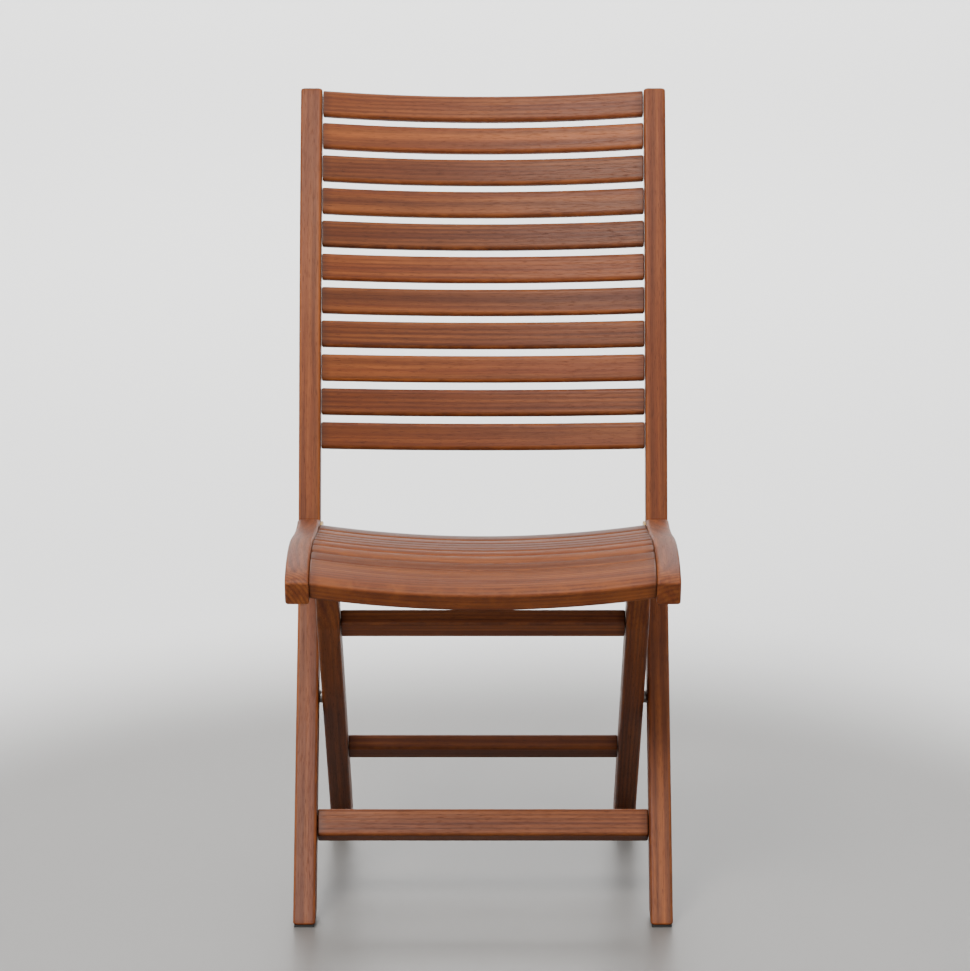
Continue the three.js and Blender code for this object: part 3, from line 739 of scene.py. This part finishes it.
class CHAIR_OT_rear_legs(ChairOperator, bpy.types.Operator):
    """The rear legs, level at the foot, tapered and rounded at the top"""
    bl_idname = "chair.rear_legs"
    bl_label = "Rear legs"

    def execute(self, context):
        s = settings("frame")
        up = rear_leg_way()
        out = np.array([up[1], -up[0]])
        half = s.rear_leg_depth / 2
        pin = slide_pin()
        tip = float((pin - PIVOT) @ up)
        foot = node_box("rear_leg_left")[0][2]
        low_edge = PIVOT + out * half
        start = (foot - low_edge[1]) / up[1]
        front_start = (foot - (PIVOT - out * half)[1]) / up[1]
        total = tip + s.rear_tip - start
        arc = np.linspace(0, np.pi / 2, 12)
        stations, drawn = end_stations(total, s.ease, 120)
        keep = stations < total - s.rear_tip
        stations = np.concatenate([stations[keep], total - s.rear_tip + s.rear_tip * np.sin(arc)])
        drawn = np.concatenate([drawn[keep], np.zeros(len(arc))])
        from_top = stations + start
        bulge = np.sqrt(np.clip(s.rear_tip ** 2 - np.clip(from_top - tip, 0, None) ** 2, 0, None))
        rear_side = np.where(from_top < tip, half, half - s.rear_tip + bulge)
        taper = np.clip((from_top - tip) / s.rear_taper + 1, 0, 1)
        tapered = -half + taper * (2 * half - 2 * s.rear_tip)
        front_side = np.where(from_top < tip, tapered, half - s.rear_tip - bulge)
        depth = np.maximum((rear_side - front_side) / 2, 0.1 * MM)
        middle = (rear_side + front_side) / 2
        centre = PIVOT + up * from_top[:, None] + out * middle[:, None]
        fade = np.clip(1 - stations / 0.15, 0, 1)[:, None]
        slope = (front_start - start) / (2 * half)

        def level_foot(p):
            """Slides the foot's points along the leg until its cut is level."""
            return up * ((depth[:, None] - p) * slope * fade)[..., None]

        for seed, name in enumerate(SIDES):
            low, high = node_box(f"rear_leg_{name}")
            side_board(f"rear_leg_{name}_board", f"rear_leg_{name}", centre,
                       np.broadcast_to(out, centre.shape), depth,
                       (high[0] - low[0]) / 2 - s.sanded, (high[0] + low[0]) / 2, s.ease, stations,
                       drawn, 71 + seed, 0.92, level_foot)
        return {"FINISHED"}


class CHAIR_OT_seat_rails(ChairOperator, bpy.types.Operator):
    """The seat rails: rolled nose, sweeping top, end rounded about the hinge"""
    bl_idname = "chair.seat_rails"
    bl_label = "Seat rails"

    def execute(self, context):
        s, f = settings("slats"), settings("frame")
        hinge_at = seat_length()
        radius = s.rail_end
        low, high = node_box("seat_rail_left")
        crown, nose_bottom = high[2], high[2] - s.nose_depth
        arc = np.linspace(0, np.pi / 2, 12)
        nose = np.linspace(0, 1, 34) ** 2 * s.nose_length
        turn = s.undercut + np.linspace(-1, 1, 7) * 2 * MM
        body = np.linspace(s.nose_length, hinge_at, 60)[1:]
        end = hinge_at + radius * np.sin(arc[1:])
        y = np.unique(np.concatenate([nose, turn, body, end]))
        half_round = np.sqrt(np.clip(radius ** 2 - np.clip(y - hinge_at, 0, None) ** 2, 0, None))
        top = np.where(y < hinge_at, rail_top(y), HINGE[1] + half_round)
        marks = [0, s.undercut, s.nose_length, hinge_at - s.rail_taper, hinge_at]
        under = np.interp(y, marks, [crown - s.nose_rise, nose_bottom, nose_bottom, low[2],
                                     HINGE[1] - radius])
        under = under + 0.8 * MM * np.exp(-((y - s.undercut) / (1.6 * MM)) ** 2)
        under = np.where(y < hinge_at, under, HINGE[1] - half_round)
        depth = np.maximum((top - under) / 2, 0.1 * MM)
        centre = np.stack([seat_front() + y, (top + under) / 2], axis=1)
        across = np.broadcast_to(np.array([0.0, 1.0]), centre.shape)
        front = np.clip(f.ease - y, 0, None) * 0.6
        back = np.clip(y - (hinge_at + radius - f.ease), 0, None)
        inset = f.ease - np.sqrt(np.clip(f.ease ** 2 - (front + back) ** 2, 0, None))
        for seed, name in enumerate(SIDES):
            low, high = node_box(f"seat_rail_{name}")
            side_board(f"seat_rail_{name}_board", f"seat_rail_{name}", centre, across, depth,
                       (high[0] - low[0]) / 2 - inset, (high[0] + low[0]) / 2, f.ease, y,
                       np.zeros_like(y), 81 + seed, 1.02)
        return {"FINISHED"}


class CHAIR_OT_seat_slats(ChairOperator, bpy.types.Operator):
    """The wide rolled front slat and the narrower slats behind it, all sagging at the middle"""
    bl_idname = "chair.seat_slats"
    bl_label = "Seat slats"

    def execute(self, context):
        s = settings("slats")
        low, high = node_box("seat_front_slat")
        half = high[0]

        def sag(x):
            """Lowered by a parabola, most at the middle."""
            drop = s.seat_dish * (1 - (x / half) ** 2)
            return np.stack([np.zeros_like(drop), -drop], axis=1)

        outline, corner = self.front_outline()
        cross_board("seat_front_slat_board", "seat_front_slat", outline, corner, half, sag, 90, 1.04)
        count = sum(n.startswith("seat_slat_") for n in frame["nodes"])
        first = s.front_length + s.front_gap
        pitch = (seat_length() - s.rear_clear - first + s.seat_gap) / count
        for i in range(count):
            front, rear = first + i * pitch, first + (i + 1) * pitch - s.seat_gap
            way = np.array([rear - front, float(rail_top(rear) - rail_top(front))])
            way /= np.hypot(*way)
            top = np.array([seat_front() + (front + rear) / 2,
                            float(rail_top(front) + rail_top(rear)) / 2])
            centre = top + behind(way) * s.seat_thickness / 2
            outline, corner = section_outline(centre, way, rear - front, s.seat_thickness,
                                              s.ease * 1.4, s.seat_crown)
            node = f"seat_slat_{i + 1}"
            cross_board(f"{node}_board", node, outline, corner, half, sag, 91 + i, tone_of(i + 40))
        return {"FINISHED"}

    @staticmethod
    def front_outline():
        """The rolled front slat: the rails' nose curve over the top, a small round at the foot of
        the face, and a hollowed underside."""
        s = settings("slats")
        deep = s.front_length
        crown = node_box("seat_rail_left")[1][2]
        bottom = crown - s.nose_rise - s.front_face
        y = deep * (np.linspace(1, 0, 22) ** 1.7)
        y[0] = deep - 1.5 * MM
        top = np.stack([y, rail_top(y)], axis=1)
        fall = np.linspace(0, 1, 9)[1:-1, None]
        edge, toe = np.array([0, crown - s.nose_rise]), np.array([s.undercut, bottom])
        foot = edge + (toe - edge) * fall
        round_toe = toe + np.array([[-1.0, 1.5], [0.3, 0.3], [2.2, 0.0]]) * MM
        foot = np.concatenate([foot, round_toe])
        rear_low = float(rail_top(np.array(deep))) - s.front_rear
        under = np.linspace(0, 1, 9)[1:, None]
        a, b = np.array([deep / 2, bottom + 1 * MM]), np.array([deep - 1.5 * MM, rear_low])
        lower = a + (b - a) * under
        back = np.array([[deep, rear_low + 2 * MM], [deep, float(top[0, 1]) - 3 * MM],
                         [deep - 0.4 * MM, float(top[0, 1]) - 1 * MM]])
        outline = np.concatenate([top, foot, a[None], lower, back])
        outline[:, 0] += seat_front()
        corner = np.zeros(len(outline), bool)
        roll = 8
        corner[:1] = corner[len(top) - roll:len(top) + roll] = corner[-len(back):] = True
        return outline, corner


class CHAIR_OT_hardware(ChairOperator, bpy.types.Operator):
    """Bolts, washers, nuts, hinge plates, pins, screws, plugs and glides"""
    bl_idname = "chair.hardware"
    bl_label = "Hardware"

    def execute(self, context):
        s = settings("finish")
        steel = hard_finish("zinc_plated_steel", s.steel, 0.34, 1.0)
        brass = hard_finish("dulled_brass", s.brass, 0.40, 1.0)
        plastic = hard_finish("glide_plastic", s.rubber, 0.62, 0.0)
        finishes = {"steel": steel, "brass": brass, "glide_plastic": plastic,
                    "plug_wood": end_grain(), "oiled_wood": timber()}
        slots = {part["node"]: part["material_slot"] for part in frame["record"]["subparts"]}
        for name, node in frame["nodes"].items():
            node.data.materials.clear()
            node.data.materials.append(finishes[slots[name]])
        for name, side in SIDES.items():
            self.bolt(f"pivot_bolt_{name}", side, steel)
            self.disc(f"pivot_washer_{name}", 0.3 * MM, steel, "steel")
            self.nut(f"pivot_nut_{name}", side, steel)
            self.disc(f"slide_pin_{name}", 0.5 * MM, steel, "steel")
            self.disc(f"hinge_pin_{name}", 0.4 * MM, steel, "steel")
            for plug in (f"{name}_stretcher_plug", f"rear_upper_plug_{name}",
                         f"rear_lower_plug_{name}"):
                self.disc(plug, 0.25 * MM, finishes["plug_wood"], "plug_wood")
        return {"FINISHED"}

    @staticmethod
    def ends(node, side):
        """The node's inner and outer x, and its radius."""
        low, high = node_box(node)
        x = (low[0], high[0]) if side > 0 else (high[0], low[0])
        return x[0], x[1], (high[2] - low[2]) / 2

    def disc(self, node, ease, finish, slot):
        """A plain round piece with eased rims."""
        inner, outer, radius = self.ends(node, 1)
        turned(node, [(ease, inner), (radius - ease, inner), (radius - 0.3 * ease, inner + 0.3 * ease),
                      (radius, inner + ease), (radius, outer - ease),
                      (radius - 0.3 * ease, outer - 0.3 * ease), (radius - ease, outer),
                      (ease, outer)], finish)

    def bolt(self, node, side, finish):
        """A low head with a bevelled rim and a hexagon socket, on a plain shank."""
        inner, outer, radius = self.ends(node, side)
        rim = outer - side * 0.8 * MM
        under = outer - side * 2.7 * MM
        socket = hexagon(5 * MM)
        turned(node, [(0.4 * MM, outer - side * 1.8 * MM), (socket * 0.96, outer - side * 1.8 * MM),
                      (socket, outer - side * 1.7 * MM), (socket, outer - side * 0.15 * MM),
                      (socket + 0.2 * MM, outer), (radius - 1.5 * MM, outer),
                      (radius - 0.8 * MM, outer - side * 0.1 * MM),
                      (radius - 0.25 * MM, outer - side * 0.4 * MM), (radius, rim),
                      (radius, under), (radius / 2, under), (radius / 2, inner),
                      (0.4 * MM, inner)], finish)

    def nut(self, node, side, finish):
        """A hexagon nut with worn corners and a chamfered face."""
        inner, outer, radius = self.ends(node, side)
        flats = np.minimum(hexagon(radius * 1.74), radius)
        turned(node, [(radius * 0.55, inner), (np.minimum(flats, radius * 0.9), inner),
                      (flats, inner + side * 0.7 * MM), (flats, outer - side * 0.7 * MM),
                      (np.minimum(flats, radius * 0.9), outer), (radius * 0.55, outer)],
               finish)


class CHAIR_OT_stage(ChairOperator, bpy.types.Operator):
    """Floor with a painted pool of shade round the chair, soft studio light and the camera"""
    bl_idname = "chair.stage"
    bl_label = "Stage"

    def execute(self, context):
        self.floor()
        for name, where, size, power, warmth in (
            ("key_light", (-1.4, -3.1, 3.7), 1.4, 250, (1.0, 0.97, 0.94)),
            ("fill_light", (2.4, -3.2, 3.0), 2.4, 10, (0.95, 0.97, 1.0)),
            ("backdrop_light", (0, 5.0, 3.6), 4.0, 340, (1.0, 1.0, 1.0)),
            ("ceiling_light", (0, 0.6, 6.0), 9.0, 400, (1.0, 1.0, 1.0)),
        ):
            data = bpy.data.lights.new(name, "AREA")
            data.size, data.energy, data.color = size, power, warmth
            lamp = bpy.data.objects.new(name, data)
            lamp.location = where
            target = (0, 0, 0.45) if where[1] < 0 else (where[0], where[1], 0)
            aim = Vector(target) - lamp.location
            lamp.rotation_euler = aim.to_track_quat("-Z", "Y").to_euler()
            context.scene.collection.objects.link(lamp)
        world = bpy.data.worlds.new("studio")
        world.use_nodes = True
        w = Wiring(world.node_tree)
        background = world.node_tree.nodes["Background"]
        height = w.node("SeparateXYZ", Vector=w.node("TexCoord").outputs["Generated"]).outputs[2]
        glow = w.spread(height, 0.0, 1.0)
        w.put(w.mix(glow, (0.16, 0.16, 0.17, 1), (0.8, 0.81, 0.84, 1)), background.inputs["Color"])
        background.inputs["Strength"].default_value = 0.8
        context.scene.world = world
        self.camera(context)
        return {"FINISHED"}

    @staticmethod
    def floor():
        """A wide round floor that curves up far away, on every side: height is half the square of the distance
        past the start of the curve. Its colour is a painted pool of shade round the chair: dark grey there, paling
        into light grey further off."""
        sides, flat, rim = 96, 5.6, 8.2
        turn = np.linspace(0, 2 * np.pi, sides, endpoint=False)
        reach = np.concatenate([np.linspace(0.02, flat, 24), np.linspace(flat + 0.1, rim, 26)])
        rise = 0.5 * np.clip(reach - flat, 0, None) ** 2
        radius, angle = np.meshgrid(reach, turn, indexing="ij")
        height = np.broadcast_to(rise[:, None], radius.shape)
        points = np.stack([radius * np.cos(angle), radius * np.sin(angle), height], axis=-1)
        points = points.reshape(-1, 3)
        i, j = np.meshgrid(np.arange(len(reach) - 1), np.arange(sides), indexing="ij")
        k = (j + 1) % sides
        quads = np.stack([i * sides + j, (i + 1) * sides + j, (i + 1) * sides + k, i * sides + k],
                         axis=-1)
        quads = quads.reshape(-1, 4).tolist() + [list(range(sides))]
        mesh = bpy.data.meshes.new("floor")
        mesh.from_pydata(points.tolist(), [], quads)
        mesh.shade_smooth()
        made, w, shader = material_of("studio_floor")
        tint = settings("finish").floor
        where = w.node("TexCoord").outputs["Object"]
        cloud = w.noise(where, 1.4, 4.0, 0.6)
        # Painted shade: the mottled dark tint round the chair fades between 0.7 m and 1.35 m from the middle into
        # pale grey, a pool of shade painted on the floor.
        near = tuple(c * 0.9 for c in tint[:3]) + (1,)
        away = w.spread(w.vector("LENGTH", where, (0.0, 0.0, 0.0)), 0.7, 1.35)
        shade_pool_floor = w.mix(cloud, near, tuple(tint))
        w.put(w.mix(away, shade_pool_floor, (0.78, 0.78, 0.77, 1)), shader.inputs["Base Color"])
        shader.inputs["Roughness"].default_value = 0.38
        mesh.materials.append(made)
        floor = bpy.data.objects.new("studio_floor", mesh)
        bpy.context.scene.collection.objects.link(floor)

    @staticmethod
    def camera(context):
        """A long lens in front of the chair, a little above it, looking down."""
        data = bpy.data.cameras.new("camera")
        data.lens = 172.7
        data.sensor_width = 36
        distance, height, aside, down = 5.2, 1.76, 0.0024, 12.863
        camera = bpy.data.objects.new("camera", data)
        camera.location = (aside, seat_front() - distance, height)
        camera.rotation_euler = (np.radians(90 - down), 0, 0)
        context.scene.collection.objects.link(camera)
        context.scene.camera = camera


OPERATORS = (CHAIR_OT_stage, CHAIR_OT_hardware, CHAIR_OT_uprights, CHAIR_OT_back_slats,
             CHAIR_OT_stretchers, CHAIR_OT_rear_legs, CHAIR_OT_seat_rails, CHAIR_OT_seat_slats)


class CHAIR_PT_panel(bpy.types.Panel):
    """Lists the chair's pieces and settings in the sidebar"""
    bl_idname = "CHAIR_PT_panel"
    bl_label = "Slatted folding chair"
    bl_space_type = "VIEW_3D"
    bl_region_type = "UI"
    bl_category = "Chair"

    def draw(self, context):
        for operator in OPERATORS:
            self.layout.operator(operator.bl_idname)
        for kind in ("frame", "slats", "finish"):
            box = self.layout.box()
            values = settings(kind)
            for key in values.bl_rna.properties.keys():
                if key not in {"rna_type", "name"}:
                    box.prop(values, key)


SETTINGS = {"chair_frame": ChairFrameSettings, "chair_slats": ChairSlatSettings,
            "chair_finish": ChairFinishSettings}
CLASSES = (*SETTINGS.values(), *OPERATORS, CHAIR_PT_panel)


def register():
    """Registers the classes and hangs the settings on the scene."""
    for cls in CLASSES:
        bpy.utils.register_class(cls)
    for name, cls in SETTINGS.items():
        setattr(bpy.types.Scene, name, bpy.props.PointerProperty(type=cls))


def unregister():
    """Takes the settings and classes away."""
    for name in SETTINGS:
        delattr(bpy.types.Scene, name)
    for cls in reversed(CLASSES):
        bpy.utils.unregister_class(cls)


def main():
    """Registers the classes and runs every operator to build the chair."""
    register()
    for operator in OPERATORS:
        family, name = operator.bl_idname.split(".")
        getattr(getattr(bpy.ops, family), name)()


if __name__ == "__main__":
    main()
